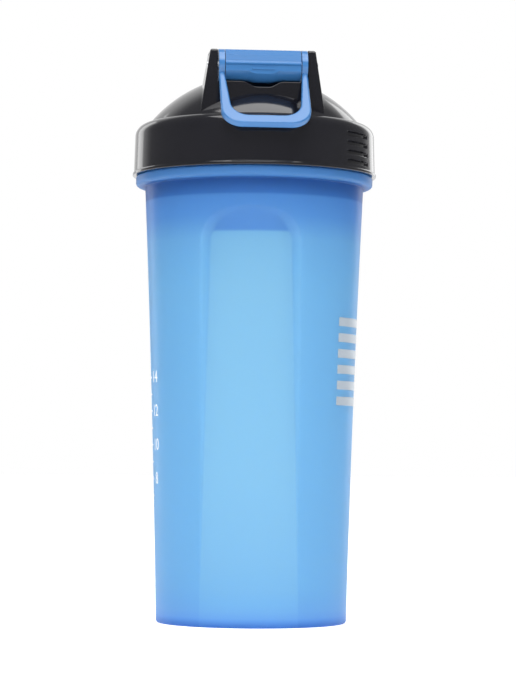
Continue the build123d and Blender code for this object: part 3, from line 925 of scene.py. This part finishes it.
def printed_bar(first_angle, last_angle, height, half_height):
    """Vertices and faces of a thin level bar on the cup."""
    sections = []
    for angle in np.linspace(first_angle, last_angle, max(4, round(last_angle - first_angle))):
        for rise, lift in ((-1, 0), (1, 0), (1, 1), (-1, 1)):
            place = height + rise * half_height
            sections.append(wrapped(angle, place, print_lift + lift * print_thickness))
    last = len(sections) - 4
    faces = [[0, 1, 2, 3], [last + 3, last + 2, last + 1, last]]
    for start in range(0, last, 4):
        for i in range(4):
            j = (i + 1) % 4
            faces.append([start + i, start + 4 + i, start + 4 + j, start + j])
    return sections, faces


def printed_number(text, middle_angle, height):
    """Vertices and faces of a number on the cup, upright and centred."""
    curve = bpy.data.curves.new("number", "FONT")
    curve.body = text
    curve.size = number_size
    curve.align_x = "CENTER"
    curve.align_y = "CENTER"
    curve.extrude = print_thickness / 2
    curve.resolution_u = 4
    writing = bpy.data.objects.new("number", curve)
    bpy.context.scene.collection.objects.link(writing)
    mesh = writing.to_mesh()
    vertices = []
    for vertex in mesh.vertices:
        across, up, out = vertex.co
        angle = middle_angle + math.degrees(across / base_radius)
        vertices.append(wrapped(angle, height + up, print_lift + print_thickness / 2 + out))
    faces = [list(polygon.vertices) for polygon in mesh.polygons]
    writing.to_mesh_clear()
    bpy.data.objects.remove(writing)
    bpy.data.curves.remove(curve)
    return vertices, faces


def printed(name, parts, material):
    """One piece from the vertices and faces of several marks, riding the cup."""
    vertices, faces = [], []
    for part_vertices, part_faces in parts:
        start = len(vertices)
        vertices.extend(part_vertices)
        faces.extend([[start + i for i in face] for face in part_faces])
    piece = new_piece(name, vertices, faces)
    give(piece, material)
    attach(piece, "cup")


def make_prints():
    """A white scale with plain numbers, and plain silver bars, pad printed on the cup."""
    ticks = [
        printed_bar(*scale_tick_angles, height, scale_tick_half_height)
        for height in scale_tick_heights
    ]
    numbers = [printed_number(text, scale_angle, height) for height, text in scale_numbers]
    printed("scale_print", ticks + numbers, white_print)
    bars = [printed_bar(*bar_angles, height, bar_half_height) for height in bar_heights]
    printed("bar_print", bars, silver_print)


# ------------------------------------------------------------------ lid


def lid_rows():
    """The lid's section, from the inside edge of its skirt, over the dome and back inside."""
    corner_height = shoulder_height - ring_corner_radius
    step_height = skirt_bottom + lip_height
    lip = rounded(
        [
            (skirt_inner_radius, skirt_bottom),
            (lip_radius, skirt_bottom),
            (lip_radius, step_height),
            (ring_radius_bottom, step_height + lip_slope_height),
            (ring_radius_bottom, step_height + ring_foot_height),
        ],
        lip_corner_radii,
    )
    ring = along(
        (ring_radius_bottom, step_height + ring_foot_height),
        (ring_radius_top, corner_height),
        ring_row_spacing,
    )
    corner = arc_about(
        (ring_radius_top - ring_corner_radius, corner_height), ring_corner_radius, 0, 90, 13
    )
    foot_angle = math.degrees(math.acos(dome_foot_radius / dome_radius))
    first_angle = foot_angle + dome_first_angle
    dome = arc_about((0, dome_centre_height), dome_radius, first_angle, dome_last_angle, 46)
    foot = rounded(
        [
            (ring_radius_top - ring_corner_radius - 0.2, shoulder_height),
            (dome_foot_radius, shoulder_height),
            dome[0],
        ],
        (dome_foot_blend,),
        7,
    )
    inner_radius = dome_radius - dome_wall
    inner_angle = math.degrees(math.acos(collar_inner_radius / inner_radius))
    ceiling = arc_about((0, dome_centre_height), inner_radius, dome_last_angle, inner_angle, 26)
    collar = rounded(
        [
            ceiling[-1],
            (collar_inner_radius, collar_bottom),
            (collar_outer_radius, collar_bottom),
            (collar_outer_radius, seal_seat_height),
            (skirt_inner_radius, seal_seat_height),
            (skirt_inner_radius, seal_seat_height - seat_wall_height),
        ],
        collar_corner_radii,
    )
    skirt = along(
        (skirt_inner_radius, seal_seat_height - seat_wall_height - row_gap),
        (skirt_inner_radius, skirt_bottom + skirt_foot_height),
        skirt_row_spacing,
    )
    outer = lip + ring + corner + foot + dome[1:] + [(0, dome_centre_height + dome_radius)]
    inner = [(0, dome_centre_height + inner_radius)] + ceiling + collar + skirt
    return without_repeats(outer), without_repeats(inner)


def grooves(height, angles):
    """How deep the grip grooves are at each angle of the ring."""
    depth = np.zeros(len(angles))
    for grip in grip_angles:
        ends = np.clip((grip_arc / 2 - np.abs(away_from(angles, grip))) / groove_end_slope, 0, 1)
        for middle in groove_heights:
            side = np.clip((groove_half_width - abs(height - middle)) / groove_side_slope, 0, 1)
            depth = np.maximum(depth, groove_depth * ends * side)
    return depth


def barrel_cutter(name, radius, bulge_radius, half_width):
    """A barrel about the hinge pin with a thumb lobe in its middle, used to cut room for it."""
    sections = []
    for x in np.linspace(-half_width, half_width, 61):
        size = lobed_radius(x, radius, bulge_radius)
        circle = arc_about((hinge.y, hinge.z), size, 0, 360, 49)[:-1]
        sections.append([(x, y, z) for y, z in circle])
    return lofted(name, sections)


def lobed_radius(x, radius, bulge_radius):
    """The barrel's radius at one place along the pin."""
    share = (lobe_half_width - abs(x)) / (lobe_half_width - lobe_flat_half_width)
    share = min(max(share, 0.0), 1.0)
    return radius + (bulge_radius - radius) * share * share * (3 - 2 * share)


def upright_cylinder(name, radius, low, high, centre):
    """A plain upright cylinder, used to cut a bore."""
    return turned_simply(name, [(0, low), (radius, low), (radius, high), (0, high)], 72, centre)


def on_lid(piece):
    """Makes a piece part of the lid, which is moulded in one."""
    give(piece, black_gloss)
    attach(piece, "lid")


def make_lid_shell():
    """Ring, shoulder and dome in one, with the grip grooves, the thread and the spout's bore."""
    ends = [grip + side * grip_arc / 2 for grip in grip_angles for side in (-1, 1)]
    angles = columns(lid_columns, ends, width=2.0, gain=3.0)
    outer, inner = lid_rows()
    radii, heights = [], []
    for radius, height in outer + inner:
        ring = np.full(len(angles), radius)
        if ring_radius_top - hair < radius < ring_radius_bottom + hair:
            ring = ring - grooves(height, angles)
        elif abs(radius - skirt_inner_radius) < hair and height < seal_seat_height - seat_wall_height:
            ring = ring - lid_thread_depth * ridge(height, angles, thread_start - lid_thread_drop)
        radii.append(ring)
        heights.append(height)
    piece = turned("lid_shell", radii, heights, angles, 35.0)
    bore_top = spout_top + bore_overshoot
    bore = upright_cylinder("bore", spout_bore_radius, shoulder_height, bore_top, (0, spout_y))
    channel = barrel_cutter("channel", channel_radius, lobe_channel_radius, cheek_inner_x)
    cut(piece, bore, channel)
    shade(piece, 35.0)
    on_lid(piece)
    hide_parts("lid")


def make_spout():
    """The spout's tube, flared where it grows out of the dome."""
    meeting = dome_centre_height + math.sqrt(dome_radius**2 - (spout_y + spout_radius) ** 2)
    foot = meeting - spout_root_depth
    outline = rounded(
        [
            (spout_bore_radius, foot),
            (spout_radius, foot),
            (spout_radius, spout_top),
            (spout_bore_radius, spout_top),
            (spout_bore_radius, foot),
        ],
        (None, spout_rim_radius, spout_rim_radius),
        7,
    )
    on_lid(turned_simply("spout", outline[:-1], 96, (0, spout_y)))


def make_cheeks():
    """The two upright cheeks that hold the hinge pin, with rounded edges."""
    back = math.degrees(math.atan2(math.sqrt(knuckle_radius**2 - rear_reach**2), -rear_reach))
    crown = arc_about((hinge.y, hinge.z), knuckle_radius, back, cheek_front_angle, 26)
    slope = math.radians(cheek_front_angle)
    run = cheek_front_y - crown[-1][0]
    front = (crown[-1][0] + run, crown[-1][1] - run / math.tan(slope))
    outline = crown + [front, (front[0], cheek_foot_height), (rear_y, cheek_foot_height)]
    top_height = hinge.z + knuckle_radius + cheek_crown_margin
    corner_height = top_height - cheek_crown_radius
    for side, name in ((-1, "cheek_left"), (1, "cheek_right")):
        inner = [(side * cheek_inner_x, y, z) for y, z in outline]
        outer = []
        for y, z in outline:
            share = (z - cheek_foot_height) / (top_height - cheek_foot_height)
            x = cheek_foot_x + (cheek_top_x - cheek_foot_x) * share
            rise = max(z - corner_height, 0)
            x -= cheek_crown_radius - math.sqrt(cheek_crown_radius**2 - rise**2)
            outer.append((side * x, y, z))
        piece = lofted(name, [inner, outer], 60.0)
        bevel(piece, cheek_edge_radius)
        on_lid(piece)


def make_hinge_wall():
    """The wall between the cheeks, hollowed along its top for the cap's barrel."""
    sections = []
    drop = hinge.z - wall_top
    reach = cheek_inner_x + wall_overlap
    for x in np.linspace(-reach, reach, 73):
        radius = lobed_radius(x, channel_radius, lobe_channel_radius)
        ahead = min(math.sqrt(radius**2 - drop**2), wall_front_y - hinge.y - wall_front_margin)
        start = -math.degrees(math.acos(-rear_reach / radius))
        end = -math.degrees(math.acos(ahead / radius))
        hollow = arc_about((hinge.y, hinge.z), radius, start, end, 14)
        top = (wall_front_y, max(wall_top, hollow[-1][1]))
        profile = [(rear_y, cheek_foot_height)] + hollow + [top, (wall_front_y, cheek_foot_height)]
        corners = [profile[-1]] + profile + [profile[0]]
        sizes = [None, wall_edge_radius] + [None] * (len(corners) - 4)
        profile = rounded(corners, sizes)[1:-1]
        sections.append([(x, y, z) for y, z in profile])
    on_lid(lofted("hinge_wall", sections))


make_cup()
make_prints()
make_lid_shell()
make_spout()
make_cheeks()
make_hinge_wall()

for node, material in (
    ("flip_cap", blue_satin),
    ("carry_loop", blue_satin),
    ("hinge_pin", steel),
    ("strainer", black_satin),
    ("lid_seal", silicone),
    ("spout_plug", black_rubber),
):
    give_node(node, material)
